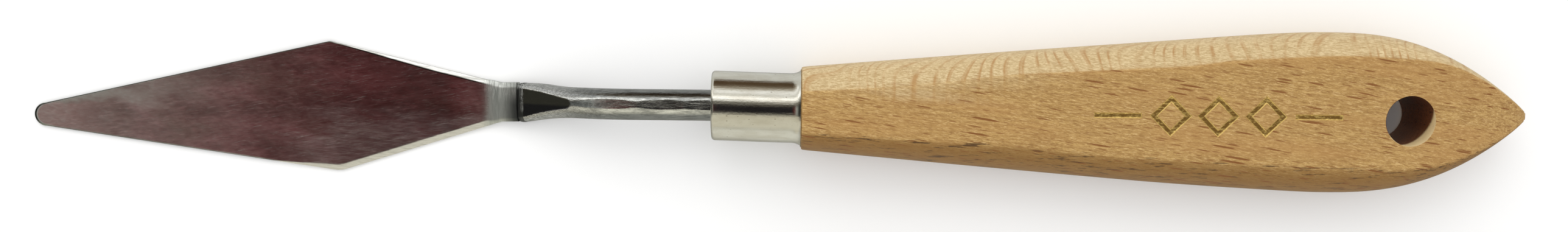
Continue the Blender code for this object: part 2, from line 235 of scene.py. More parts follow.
class Nodes:
    """Short calls that add nodes to a tree."""

    def __init__(self, tree):
        self.tree = tree

    def node(self, kind, inputs=(), **settings):
        """A new node, with its settings made and its inputs set or linked, in order or by name."""
        made = self.tree.nodes.new(kind)
        for key, value in settings.items():
            setattr(made, key, value)
        named = inputs.items() if isinstance(inputs, dict) else enumerate(inputs)
        for key, value in named:
            socket = made.inputs[key]
            if isinstance(value, bpy.types.NodeSocket):
                self.tree.links.new(value, socket)
            elif socket.type == "RGBA":
                socket.default_value = (*value, 1.0)
            else:
                socket.default_value = value
        return made

    def math(self, operation, *values):
        return self.node("ShaderNodeMath", values, operation=operation).outputs["Value"]

    def times(self, first, second):
        return self.math("MULTIPLY", first, second)

    def plus(self, first, second):
        return self.math("ADD", first, second)

    def minus(self, first, second):
        return self.math("SUBTRACT", first, second)

    def ranged(self, value, low, high, to_low=0.0, to_high=1.0, smooth=True):
        """Maps low..high onto to_low..to_high, held at the ends."""
        limits = {"Value": value, "From Min": low, "From Max": high, "To Min": to_low, "To Max": to_high}
        style = "SMOOTHSTEP" if smooth else "LINEAR"
        return self.node("ShaderNodeMapRange", limits, interpolation_type=style).outputs["Result"]

    def mixed(self, share, first, second, blend="MIX"):
        sockets = {0: share, 6: first, 7: second}  # 6, 7 and output 2 are the node's colour sockets
        return self.node("ShaderNodeMix", sockets, data_type="RGBA", blend_type=blend).outputs[2]

    def parts(self, vector):
        split = self.node("ShaderNodeSeparateXYZ", [vector])
        return split.outputs["X"], split.outputs["Y"], split.outputs["Z"]


class Finish(Nodes):
    """A Principled material; places are in millimetres."""

    def __init__(self, name, **constants):
        self.material = bpy.data.materials.new(name)
        self.material.use_nodes = True
        super().__init__(self.material.node_tree)
        self.shader = self.tree.nodes["Principled BSDF"]
        for socket, value in constants.items():
            self.shader.inputs[socket.replace("_", " ")].default_value = value
        metres = self.node("ShaderNodeTexCoord").outputs["Object"]
        self.place = self.scaled(metres, (1 / MM,) * 3)

    def scaled(self, source, scale, turn=(0, 0, 0), shift=(0, 0, 0)):
        settings = {"Vector": source, "Scale": scale, "Rotation": turn, "Location": shift}
        return self.node("ShaderNodeMapping", settings).outputs["Vector"]

    def turned(self, turn):
        return self.scaled(self.place, (1, 1, 1), turn=(0, 0, turn)) if turn else self.place

    def noise(self, scale, detail=3.0, roughness=0.55, turn=0.0, shift=(0, 0, 0), warp=0.0):
        settings = {"Scale": 1.0, "Detail": detail, "Roughness": roughness, "Distortion": warp}
        settings["Vector"] = self.scaled(self.turned(turn), scale, shift=shift)
        return self.node("ShaderNodeTexNoise", settings).outputs["Fac"]

    def normal(self):
        return self.parts(self.node("ShaderNodeNewGeometry").outputs["Normal"])

    def dashes(self, cell, share, big, slant=0.0, shift=(0, 0, 0)):
        """Short lens-shaped marks, one in some of the cells of a stretched honeycomb."""
        scale = tuple(1 / side for side in cell)
        place = self.scaled(self.turned(slant), scale, shift=shift)
        node = self.node("ShaderNodeTexVoronoi", {"Scale": 1.0, "Vector": place})
        chance, size, _ = self.parts(node.outputs["Color"])
        radius = self.ranged(size, 0.0, 1.0, big * 0.45, big, smooth=False)
        inside = self.minus(radius, node.outputs["Distance"])
        mark = self.ranged(inside, 0.0, big * 0.25)
        return self.times(mark, self.math("LESS_THAN", chance, share))

    def bump(self, height, distance, strength=1.0, after=None):
        settings = {"Strength": strength, "Distance": distance, "Height": height}
        if after:
            settings["Normal"] = after
        return self.node("ShaderNodeBump", settings).outputs["Normal"]

    def to(self, socket, value):
        self.tree.links.new(value, self.shader.inputs[socket])


# Materials


def beech(name, in_bore=False):
    """Beech: ray flecks, speckled fibre, growth arcs on the pale +Y side, painted light on faces turned to
    +Y, dark lines and painted shade on the -Y side.
    """
    wood = Finish(name, Metallic=0.0, IOR=1.5, Specular_IOR_Level=0.28)
    toward_x, side, _ = wood.normal()
    x, y, z = wood.parts(wood.place)
    shade = wood.ranged(side, -0.15, -0.70)

    broad = wood.noise((0.035, 0.22, 0.22), detail=2, turn=0.05)
    front_x = HANDLE_X / MM
    ragged = wood.plus(y, wood.ranged(broad, 0.3, 0.7, -1.2, 1.2))
    blended = wood.times(wood.ranged(ragged, 1.6, 4.6), wood.ranged(x, front_x + 44, front_x + 16))
    # Pale wood at the front, and painted light on faces turned to +Y
    pale_wood_and_lit_side = wood.math("MAXIMUM", wood.ranged(side, 0.25, 0.62), wood.times(blended, 0.8))
    streak = wood.noise((0.16, 2.4, 2.0), detail=4, roughness=0.6, turn=0.12, shift=(3, 1, 7))
    fibre = wood.noise((0.9, 6.0, 6.0), detail=6, roughness=0.8, turn=0.16, warp=0.5)
    speck = wood.noise((2.2, 9.0, 9.0), detail=4, roughness=0.7, turn=0.2, shift=(4, 6, 1))
    colour = wood.mixed(wood.ranged(streak, 0.3, 0.7), (0.365, 0.200, 0.058), (0.515, 0.318, 0.105))
    colour = wood.mixed(wood.ranged(fibre, 0.50, 0.64, 0.0, 0.75), colour, (0.740, 0.520, 0.235))
    colour = wood.mixed(wood.ranged(fibre, 0.50, 0.36, 0.0, 0.70), colour, (0.240, 0.115, 0.030))
    colour = wood.mixed(wood.ranged(speck, 0.50, 0.36, 0.0, 0.50), colour, (0.230, 0.110, 0.030))
    colour = wood.mixed(wood.ranged(broad, 0.42, 0.72, 0.0, 0.45), colour, (0.44, 0.230, 0.072))

    lean = wood.times(wood.math("POWER", wood.minus(z, 11.5), 2.0), 0.12)
    sway = wood.times(wood.noise((0.07, 0.02, 0.05), detail=1, shift=(5, 5, 5)), 16.0)
    along = wood.plus(wood.minus(x, lean), sway)
    rings = wood.math("SINE", wood.times(along, 2 * math.pi / 2.0))
    fine_rings = wood.math("SINE", wood.times(along, 2 * math.pi / 0.62))
    arc_strength = wood.ranged(wood.noise((0.13, 0.3, 0.3), detail=2, shift=(9, 2, 4)), 0.38, 0.62, 0.25, 1.0)
    arcs = wood.times(wood.ranged(rings, 0.3, 1.0), arc_strength)
    arcs = wood.times(arcs, wood.ranged(fine_rings, -1.0, 0.6, 0.55))
    arcs = wood.times(arcs, wood.ranged(z, 4, 10, 0.35))
    pale = wood.mixed(wood.ranged(fibre, 0.40, 0.60), (0.430, 0.295, 0.130), (0.680, 0.540, 0.310))
    pale = wood.mixed(wood.times(arcs, 0.85), pale, (0.400, 0.215, 0.072))
    # Pale wood with growth arcs where the wood is pale, and as painted light on faces turned to +Y
    colour = wood.mixed(wood.times(pale_wood_and_lit_side, 0.92), colour, pale)
    # Painted shade: faces turned to -Y are darkened towards deep brown
    colour = wood.mixed(wood.times(shade, 0.76), colour, (0.215, 0.096, 0.012))

    away_from_pale_and_lit = wood.minus(1.0, wood.times(pale_wood_and_lit_side, 0.85))
    short = wood.dashes((5.6, 0.50, 1.3), 0.50, 0.33, slant=0.17)
    tiny = wood.dashes((2.6, 0.30, 0.8), 0.45, 0.36, slant=0.15, shift=(11, 4, 2))
    long = wood.dashes((9.5, 0.72, 1.0), 0.40, 0.26, slant=0.16, shift=(2, 9, 5))
    flecks = wood.math("MAXIMUM", wood.times(short, 0.85), wood.times(tiny, 0.60))
    flecks = wood.math("MAXIMUM", flecks, wood.times(long, 0.90))
    flecks = wood.times(flecks, away_from_pale_and_lit)
    colour = wood.mixed(flecks, colour, (0.215, 0.072, 0.012))
    lines = wood.ranged(wood.noise((0.22, 2.2, 2.6), detail=4, roughness=0.7, shift=(1, 3, 8)), 0.56, 0.62)
    low_side = wood.times(lines, wood.ranged(side, -0.04, -0.30))
    colour = wood.mixed(wood.times(low_side, 0.85), colour, (0.075, 0.032, 0.008))
    if in_bore:
        # Painted light: the wall that faces -X and +Y is paler near the top, where light reaches in; painted
        # shade darkens the rest of the bore
        facing_front = wood.times(toward_x, -0.55)
        facing = wood.plus(facing_front, wood.times(side, 0.83))
        reach = wood.times(facing, 3.4)
        depth = wood.minus(TOP_Z / MM, z)
        # Share of painted light, high near the top of the wall that faces -X and +Y
        worn = wood.ranged(wood.minus(reach, depth), -0.5, 0.4)
        painted_bore_shade = wood.mixed(1.0, colour, (0.34, 0.17, 0.12), blend="MULTIPLY")
        painted_bore_light = wood.mixed(0.8, colour, (1.0, 0.78, 0.42))
        colour = wood.mixed(worn, painted_bore_shade, painted_bore_light)
    wood.to("Base Color", colour)

    relief = wood.minus(wood.times(fibre, 0.5), flecks)
    wood.to("Normal", wood.bump(relief, 0.03 * MM, strength=0.6))
    if in_bore:
        wood.to("Roughness", wood.ranged(fibre, 0.3, 0.7, 0.7, 0.85))
    else:
        wood.shader.inputs["Coat Weight"].default_value = 0.11
        wood.shader.inputs["Coat Roughness"].default_value = 0.28
        wood.to("Roughness", wood.ranged(fibre, 0.3, 0.7, 0.42, 0.56))
    return wood.material


def polished_steel():
    """Buffed steel: cloudy, streaked two ways, hazed and rubbed at the tip, ground bevels, forged root;
    painted shade on the front edge and by the weld, a painted dark reflection inside the +Y bevel.
    """
    steel = Finish("polished_steel", Metallic=1.0)
    line = math.atan2(-TO_TIP.y, -TO_TIP.x)
    x, y, _ = steel.parts(steel.place)
    _, side, up = steel.normal()
    weld_x = WELD.x / MM
    cloudy = steel.noise((0.07, 0.20, 0.3), detail=4, roughness=0.6, turn=line + 0.05, shift=(4, 2, 1))
    hue = steel.noise((0.06, 0.13, 0.3), detail=3, roughness=0.6, turn=line + 0.25, shift=(9, 4, 2))
    mottle = steel.noise((0.45, 2.6, 1.0), detail=5, roughness=0.7, turn=line - 0.15, shift=(1, 5, 3))
    rising = steel.noise((0.30, 7.5, 2.0), detail=6, roughness=0.8, turn=line - 0.24, shift=(6, 2, 2))
    level = steel.noise((0.24, 9.5, 2.0), detail=6, roughness=0.8, turn=line + 0.06, shift=(2, 8, 4))
    streaks = steel.math("MAXIMUM", steel.ranged(rising, 0.58, 0.74), steel.ranged(level, 0.60, 0.76))
    lows = steel.ranged(level, 0.42, 0.26)

    tint = steel.mixed(steel.ranged(hue, 0.40, 0.60), (0.66, 0.69, 0.645), (0.87, 0.81, 0.825))
    colour = steel.mixed(steel.ranged(cloudy, 0.34, 0.66), (0.48, 0.48, 0.465), tint)
    colour = steel.mixed(steel.ranged(mottle, 0.50, 0.68, 0.0, 0.45), colour, (1.0, 0.93, 0.94))
    colour = steel.mixed(steel.ranged(mottle, 0.48, 0.30, 0.0, 0.42), colour, (0.34, 0.32, 0.31))
    colour = steel.mixed(steel.times(streaks, 0.55), colour, (1.0, 0.96, 0.92))
    colour = steel.mixed(steel.times(lows, 0.40), colour, (0.28, 0.25, 0.25))

    tip_x = blade_low.x / MM
    drifted = steel.plus(y, steel.ranged(cloudy, 0.3, 0.7, -2.5, 2.5))
    hazed = steel.times(steel.ranged(x, tip_x + 36, tip_x + 8), steel.ranged(drifted, -1.5, 2.0))
    colour = steel.mixed(steel.times(hazed, 0.85), colour, (0.86, 0.96, 0.90))
    rubbed = steel.times(steel.ranged(x, tip_x + 16, tip_x + 3), steel.ranged(drifted, 0.5, -1.5))
    colour = steel.mixed(steel.times(rubbed, 0.55), colour, (1.0, 0.88, 0.86))
    scuffed = steel.times(steel.ranged(x, tip_x + 36, tip_x + 44), steel.ranged(drifted, -1.5, -5.0))
    scuffed = steel.times(scuffed, steel.ranged(level, 0.30, 0.60, 0.35))
    colour = steel.mixed(steel.times(scuffed, 0.38), colour, (1.0, 0.88, 0.88))
    corner_x = weld_x + (PLUS_Y_CORNER[1] - BLADE_LENGTH) / MM
    bevel = steel.ranged(steel.math("ABSOLUTE", up), 0.994, 0.976)
    ground = steel.mixed(steel.ranged(level, 0.35, 0.62), (0.66, 0.66, 0.64), (0.95, 0.94, 0.92))
    colour = steel.mixed(steel.times(bevel, 0.85), colour, ground)
    # Painted shade: a dark line along the front bevels, less dark near the tip
    from_front = steel.plus(x, steel.ranged(y, -1, 1, 9, 0))
    painted_edge_shade = steel.times(bevel, steel.ranged(from_front, corner_x + 1, corner_x - 1))
    edge_shade_tone = steel.mixed(steel.ranged(x, tip_x + 1, tip_x + 4), (0.30, 0.31, 0.29), (0.13, 0.13, 0.12))
    colour = steel.mixed(painted_edge_shade, colour, edge_shade_tone)
    # Painted reflection: a near-black line where the top turns into the +Y back bevel
    painted_bevel_reflection = steel.times(steel.ranged(side, 0.02, 0.06), steel.ranged(side, 0.22, 0.14))
    painted_bevel_reflection = steel.times(painted_bevel_reflection, steel.ranged(x, corner_x, corner_x + 4))
    painted_bevel_reflection = steel.times(painted_bevel_reflection, steel.ranged(x, weld_x - 5.5, weld_x - 7))
    colour = steel.mixed(steel.times(painted_bevel_reflection, 0.9), colour, (0.06, 0.06, 0.06))
    root = steel.ranged(x, weld_x - 6.4, weld_x - 4.4)
    strokes = steel.noise((4.5, 0.45, 1.0), detail=4, roughness=0.7, shift=(3, 3, 1))
    clear = steel.times(steel.ranged(strokes, 0.42, 0.60), steel.ranged(y, -0.5, 2.2, 0.25))
    forged_and_shaded = steel.mixed(clear, (0.56, 0.58, 0.56), (0.95, 0.97, 0.95))
    # Painted shade: the root darkens towards the weld, most on its -Y side
    shadowed = steel.times(steel.ranged(x, weld_x - 3.2, weld_x - 0.4), steel.ranged(y, 2.6, -0.6, 0.25))
    forged_and_shaded = steel.mixed(steel.times(shadowed, 0.92), forged_and_shaded, (0.06, 0.065, 0.065))
    colour = steel.mixed(root, colour, forged_and_shaded)
    steel.to("Base Color", colour)

    rough = steel.plus(steel.ranged(mottle, 0.3, 0.7, 0.08, 0.13), steel.times(streaks, 0.05))
    rough = steel.plus(rough, steel.times(steel.plus(hazed, scuffed), 0.12))
    steel.to("Roughness", steel.plus(rough, steel.times(root, 0.22)))
    wave = steel.bump(cloudy, 1.0 * MM, strength=0.10)
    lines = steel.minus(level, streaks)
    steel.to("Normal", steel.bump(lines, 0.004 * MM, strength=0.7, after=wave))
    return steel.material


def ground_steel():
    """Belt-ground neck: dark streaked flanks, a brighter crown, flats behind the weld with a painted
    reflection in two tones.
    """
    steel = Finish("ground_steel", Metallic=1.0)
    toward_x, _, up = steel.normal()
    x, y, _ = steel.parts(steel.place)
    weld_x = WELD.x / MM
    fine = steel.noise((0.40, 9, 9), detail=6, roughness=0.8)
    patch = steel.noise((0.28, 1.2, 1.2), detail=4, roughness=0.7, shift=(2, 6, 3))
    flank = steel.mixed(steel.ranged(fine, 0.34, 0.66), (0.09, 0.092, 0.09), (0.36, 0.365, 0.36))
    crown = steel.mixed(steel.ranged(patch, 0.36, 0.64), (0.42, 0.427, 0.42), (0.98, 0.99, 0.97))
    crown = steel.mixed(steel.ranged(fine, 0.50, 0.34, 0.0, 0.6), crown, (0.12, 0.12, 0.12))
    colour = steel.mixed(steel.ranged(up, 0.76, 0.96), flank, crown)
    wedge = steel.ranged(x, weld_x + 11, weld_x + 6)
    bright = steel.mixed(steel.ranged(fine, 0.40, 0.60), (0.26, 0.26, 0.255), (0.62, 0.62, 0.61))
    colour = steel.mixed(steel.times(wedge, 0.85), colour, bright)
    flat = steel.ranged(toward_x, -0.40, -0.45)
    # Painted reflection: the flat is bluish grey on its -Y half and pale olive on its +Y half
    painted_reflection_tones = steel.mixed(steel.ranged(y, -0.3, 0.2), (0.27, 0.27, 0.315), (0.62, 0.61, 0.54))
    colour = steel.mixed(flat, colour, painted_reflection_tones)
    steel.to("Base Color", colour)
    rough = steel.ranged(fine, 0.3, 0.7, 0.08, 0.16)
    steel.to("Roughness", steel.minus(rough, steel.times(flat, 0.05)))
    wave = steel.bump(patch, 0.5 * MM, strength=0.12)
    steel.to("Normal", steel.bump(fine, 0.012 * MM, strength=0.6, after=wave))
    return steel.material


def weld_steel():
    """The ground weld: bright and dark strokes across the neck."""
    steel = Finish("weld_steel", Metallic=1.0)
    weld_x = WELD.x / MM
    x, y, _ = steel.parts(steel.place)
    across = steel.noise((6.0, 0.9, 3), detail=4, roughness=0.7, warp=1.2)
    patch = steel.noise((1.5, 0.9, 1.5), detail=3, shift=(1, 2, 3))
    middle = steel.times(steel.ranged(x, weld_x, weld_x + 0.6), steel.ranged(x, weld_x + 1.5, weld_x + 0.9))
    middle = steel.times(middle, steel.ranged(y, -1.7, -0.7))
    bare = steel.math("MAXIMUM", middle, steel.ranged(y, 1.8, 2.6))
    strokes = steel.times(steel.ranged(across, 0.46, 0.56), bare)
    colour = steel.mixed(strokes, (0.11, 0.112, 0.11), (0.86, 0.87, 0.86))
    colour = steel.mixed(steel.ranged(patch, 0.48, 0.64, 0.0, 0.6), colour, (0.10, 0.10, 0.098))
    steel.to("Base Color", colour)
    steel.to("Roughness", steel.ranged(across, 0.3, 0.7, 0.34, 0.50))
    steel.to("Normal", steel.bump(across, 0.03 * MM, strength=0.6))
    return steel.material


def nickel_plate():
    """Warm bright nickel, slightly pitted, with faint drawing lines along the cup."""
    nickel = Finish("nickel_plate", Metallic=1.0)
    pits = nickel.noise((2.6, 3.4, 3.4), detail=5, roughness=0.75)
    cloudy = nickel.noise((0.22, 0.6, 0.6), detail=2, shift=(8, 1, 2))
    drawn = nickel.noise((0.12, 3.2, 3.2), detail=3, shift=(1, 7, 2))
    specks = nickel.dashes((0.55, 0.40, 0.40), 0.12, 0.30)
    colour = nickel.mixed(nickel.ranged(cloudy, 0.35, 0.65), (0.70, 0.665, 0.585), (0.80, 0.775, 0.705))
    colour = nickel.mixed(nickel.ranged(pits, 0.56, 0.74, 0.0, 0.35), colour, (0.42, 0.37, 0.27))
    colour = nickel.mixed(nickel.times(specks, 0.45), colour, (0.20, 0.16, 0.10))
    nickel.to("Base Color", colour)
    nickel.to("Roughness", nickel.ranged(pits, 0.3, 0.7, 0.03, 0.10))
    wave = nickel.bump(drawn, 0.06 * MM, strength=0.22)
    nickel.to("Normal", nickel.bump(pits, 0.03 * MM, strength=0.42, after=wave))
    return nickel.material


def gold_foil():
    """Hot-stamped foil over the wood's pores: brighter gold on the walls as a painted highlight, bronzed and
    broken on the floor.
    """
    foil = Finish("gold_foil", Metallic=0.7)
    _, _, z = foil.parts(foil.place)
    worn = foil.noise((1.1, 3.0, 2), detail=5, roughness=0.75)
    grain = foil.noise((0.8, 9, 3), detail=3, shift=(4, 4, 0))
    floor = foil.ranged(z, TOP_Z / MM - 0.10, TOP_Z / MM - 0.19)
    bronze = foil.mixed(foil.ranged(worn, 0.47, 0.64), (0.27, 0.125, 0.020), (1.0, 0.70, 0.22))
    # Painted highlight: the channel walls are a brighter gold than the worn floor
    colour = foil.mixed(foil.times(floor, 0.9), (1.0, 0.74, 0.26), bronze)
    foil.to("Base Color", colour)
    foil.to("Roughness", foil.ranged(grain, 0.3, 0.7, 0.26, 0.40))
    foil.to("Normal", foil.bump(worn, 0.05 * MM, strength=0.6))
    return foil.material


def epoxy():
    """Cured amber adhesive with trapped bubbles."""
    glue = Finish("epoxy", Metallic=0.0, IOR=1.55)
    bubbles = glue.dashes((0.5, 0.5, 0.5), 0.4, 0.3)
    haze = glue.noise((0.4, 1, 1), detail=3)
    colour = glue.mixed(glue.ranged(haze, 0.3, 0.7), (0.48, 0.33, 0.12), (0.60, 0.45, 0.20))
    glue.to("Base Color", glue.mixed(bubbles, colour, (0.75, 0.66, 0.42)))
    glue.to("Roughness", glue.ranged(haze, 0.3, 0.7, 0.2, 0.4))
    glue.to("Normal", glue.bump(bubbles, 0.05 * MM, strength=0.5))
    return glue.material


# Handle


def quarter_section(half_width, half_depth, flat, ease):
    """From the middle of the flat face, over the eased crease, to the side: (across, up) pairs."""
    across = (half_width - flat) / (1 - math.sin(CREASE))
    deep = half_depth / math.cos(CREASE)

    def side(turn):
        return Vector((half_width - across * (1 - math.cos(turn)), deep * math.sin(turn)))

    steepest = math.pi / 2 - CREASE
    corner = Vector((flat, half_depth))
    eased_turn = steepest - ease / max(math.hypot(across, deep), ease)
    before = corner - Vector((ease, 0))
    after = side(eased_turn)
    pull = 0.75  # how near the corner the bend's bezier handles come
    handles = mix(before, corner, pull), mix(after, corner, pull)
    face = spread(Vector((0, half_depth)), before, FACE_STEPS)
    bend = interpolate_bezier(before, *handles, after, CREASE_STEPS + 1)
    flank = [side(mix(eased_turn, 0.0, i / FLANK_STEPS)) for i in range(1, FLANK_STEPS + 1)]
    return face + bend[:CREASE_STEPS] + [after] + flank


def whole_section(x, plus_y, minus_y):
    """Joins a quarter for each side into a full ring about the handle's axis."""
    rise = plus_y + [Vector((p.x, -p.y)) for p in reversed(plus_y[:-1])]
    fall = [Vector((-p.x, p.y)) for p in minus_y]
    fall += [Vector((p.x, -p.y)) for p in reversed(fall[:-1])]
    return [Vector((x, p.x + stray(x), HALF_THICKNESS + p.y)) for p in rise + fall[-2:0:-1]]


def round_section(x, radius):
    """A round ring with as many points as body_section has."""
    steps = FACE_STEPS + CREASE_STEPS + FLANK_STEPS
    turns = [math.pi / 2 * i / steps for i in range(steps + 1)]
    quarter = [Vector((radius * math.sin(a), radius * math.cos(a))) for a in turns]
    return whole_section(x, quarter, quarter)


def flat_share(stops, distance):
    """The share at a distance from the front face, eased between (millimetres, share) stops."""
    for (start, low), (end, high) in zip(stops, stops[1:]):
        if distance < end * MM:
            return mix(low, high, smooth_step((distance / MM - start) / (end - start)))
    return stops[-1][1]


def body_section(distance, half_width, rounding=1.0):
    """The handle's section at a distance from its front face, shrunk by rounding."""
    if distance > BELLY_FROM_FRONT:
        half_depth = HALF_THICKNESS * math.sqrt(half_width / BELLY_HALF_WIDTH)
    else:
        half_depth = mix(COLLAR_RADIUS, HALF_THICKNESS, smooth_step(distance / COLLAR_RUN))
    half_width, half_depth = half_width * rounding, half_depth * rounding
    sides = []
    for stops in (PLUS_Y_FLAT, MINUS_Y_FLAT):
        flat = half_width * flat_share(stops, distance)
        sides.append(quarter_section(half_width, half_depth, flat, min(CREASE_EASE, flat * 0.4)))
    return whole_section(HANDLE_X + distance, *sides)


def handle_rings():
    """Blind tang bore, spigot, eased front edge, the long swell to the belly and the tail."""
    bore_end = TANG_END_X + 0.5 * MM
    spigot_front = FERRULE_X + 0.5 * MM
    chamfer = 0.2 * MM
    inside = [(bore_end, BORE_RADIUS), (spigot_front + chamfer, BORE_RADIUS)]
    inside += [(spigot_front, BORE_RADIUS + chamfer), (spigot_front, SPIGOT_RADIUS - chamfer)]
    inside += [(spigot_front + chamfer, SPIGOT_RADIUS), (HANDLE_X, SPIGOT_RADIUS)]
    rings = [round_section(x, radius) for x, radius in inside]

    belly = Vector((BELLY_FROM_FRONT, BELLY_HALF_WIDTH))
    before_belly = belly - Vector((SWELL_EASE, 0))
    swell = interpolate_bezier(Vector((0, COLLAR_RADIUS)), Vector(SWELL_BEND), before_belly, belly, 90)
    tail_bend = Vector((HANDLE_LENGTH - TAIL_BEND[0], TAIL_BEND[1]))
    tail_tip = Vector((HANDLE_LENGTH, TAIL_TIP_RADIUS))
    tail = interpolate_bezier(belly, belly + Vector((TAIL_EASE, 0)), tail_bend, tail_tip, 60)

    edge = 0.25 * MM
    for i in range(5):
        turn = math.pi / 2 * i / 5
        rounding = 1 - edge * (1 - math.sin(turn)) / COLLAR_RADIUS
        rings.append(body_section(edge * (1 - math.cos(turn)), COLLAR_RADIUS, rounding))
    for point in swell[1:-1] + tail:
        left = (HANDLE_LENGTH - point.x) / TAIL_TIP_RADIUS
        if left > 1:
            rings.append(body_section(point.x, point.y))
    for i in range(7):
        turn = math.pi / 2 * i / 6.3
        nose = HANDLE_LENGTH - TAIL_TIP_RADIUS * (1 - math.sin(turn))
        rings.append(body_section(nose, TAIL_TIP_RADIUS * 1.6, math.cos(turn)))
    return rings


def cutter_from(name, mesh, material):
    cutter = bpy.data.objects.new(name, mesh)
    bpy.context.scene.collection.objects.link(cutter)
    mesh.materials.append(material)
    return cutter


def hole_cutter(material):
    """A drill shape: a straight bore with a small chamfer at both faces."""
    overcut = 1 * MM
    wide = HOLE_RADIUS + RIM_CHAMFER + overcut
    levels = (
        (-overcut, wide),
        (RIM_CHAMFER, HOLE_RADIUS),
        (TOP_Z - RIM_CHAMFER, HOLE_RADIUS),
        (TOP_Z + overcut, wide),
    )
    turns = [2 * math.pi * i / SIDES for i in range(SIDES)]
    rings = [
        [HOLE + Vector((radius * math.cos(a), radius * math.sin(a), up)) for a in turns]
        for up, radius in levels
    ]
    return cutter_from("hole_cutter", loft_mesh("hole_cutter", rings), material)


def subtract(piece, cutters):
    for cutter in cutters:
        boolean = piece.modifiers.new(cutter.name, "BOOLEAN")
        boolean.operation = "DIFFERENCE"
        boolean.material_mode = "TRANSFER"
        boolean.object = cutter
    apply_modifiers(piece)
    for cutter in cutters:
        bpy.data.objects.remove(cutter, do_unlink=True)


# Gold foil ornament: channels pressed into the face, lined with foil

FOIL_DEPTH = 0.20 * MM
FOIL_DRAFT = 0.24 * MM
MARK_NODES = {
    "foil_rule_front": "rule",
    "foil_lozenge_front": "lozenge",
    "foil_lozenge_middle": "lozenge",
    "foil_lozenge_rear": "lozenge",
    "foil_rule_rear": "rule",
}
LOZENGE_BAND = 0.8 * MM


def offset_outline(outline, grow):
    """Moves each side of a convex outline outwards by grow."""
    moved = []
    count = len(outline)
    for i, corner in enumerate(outline):
        before = (corner - outline[i - 1]).normalized()
        after = (outline[(i + 1) % count] - corner).normalized()
        out_before, out_after = Vector((before.y, -before.x)), Vector((after.y, -after.x))
        half = (out_before + out_after) / 2
        moved.append(corner + half * (grow / half.length_squared))
    return moved


def mark_outline(node):
    """The outer outline of a foil mark, counter-clockwise, from its CAD box."""
    low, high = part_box(node)
    middle = (low + high) / 2
    if MARK_NODES[node] == "rule":
        return [Vector(p) for p in ((low.x, low.y), (high.x, low.y), (high.x, high.y), (low.x, high.y))]
    return [
        Vector(p)
        for p in ((low.x, middle.y), (middle.x, low.y), (high.x, middle.y), (middle.x, high.y))
    ]


def wall_rows(outline, inwards, slack):
    """(outline, depth) rows down a rounded wall, which leans inwards (1) or outwards (-1)."""
    rows = []
    for i in range(5):
        turn = math.pi / 2 * i / 4
        lean = FOIL_DRAFT * (1 - math.cos(turn)) - slack
        rows.append((offset_outline(outline, -inwards * lean), (FOIL_DEPTH + slack) * math.sin(turn)))
    return rows


def channel_rows(node, slack=0.0):
    """Rows down the outer wall of a mark's channel and, in a lozenge, up the inner one."""
    outline = mark_outline(node)
    rows = wall_rows(outline, 1, slack)
    if MARK_NODES[node] == "lozenge":
        rows += reversed(wall_rows(offset_outline(outline, -LOZENGE_BAND), -1, slack))
    return rows


def at_depths(rows):
    return [[Vector((*corner, TOP_Z - depth)) for corner in outline] for outline, depth in rows]


def foil_mesh(node, name):
    """A film that lines the channel: its walls and its floor."""
    caps = (-1,) if MARK_NODES[node] == "rule" else ()
    return loft_mesh(name, at_depths(channel_rows(node)), caps, sharp=50)


def channel_cutter(node, material):
    """A solid that sinks the channel a hair deeper than its foil: a bar, or a ring for a lozenge."""
    above = -0.3 * MM
    rows = channel_rows(node, slack=0.012 * MM)
    rows.insert(0, (rows[0][0], above))
    name = node + "_channel"
    if MARK_NODES[node] == "rule":
        return cutter_from(name, loft_mesh(name, at_depths(rows)), material)
    rows.append((rows[-1][0], above))
    return cutter_from(name, loft_mesh(name, at_depths(rows + rows[:1]), caps=()), material)


def make_foil(material):
    for number, node in enumerate(MARK_NODES, start=1):
        name = f"stamped_foil_{number}"
        mark = new_piece(name, foil_mesh(node, name), node, material)
        film = mark.modifiers.new("film", "SOLIDIFY")
        film.thickness = 0.008 * MM
        film.offset = -1.0
        apply_modifiers(mark)


def make_handle():
    lacquered = beech("lacquered_beech")
    bore_wood = beech("drilled_beech", in_bore=True)
    mesh = loft_mesh("beech_handle", handle_rings(), sharp=30)
    handle = new_piece("beech_handle", mesh, "handle", lacquered)
    cutters = [hole_cutter(bore_wood)]
    cutters += [channel_cutter(node, bore_wood) for node in MARK_NODES]
    subtract(handle, cutters)
    handle.data.shade_smooth()
    handle.data.set_sharp_from_angle(angle=math.radians(30))
    return handle


# Ferrule


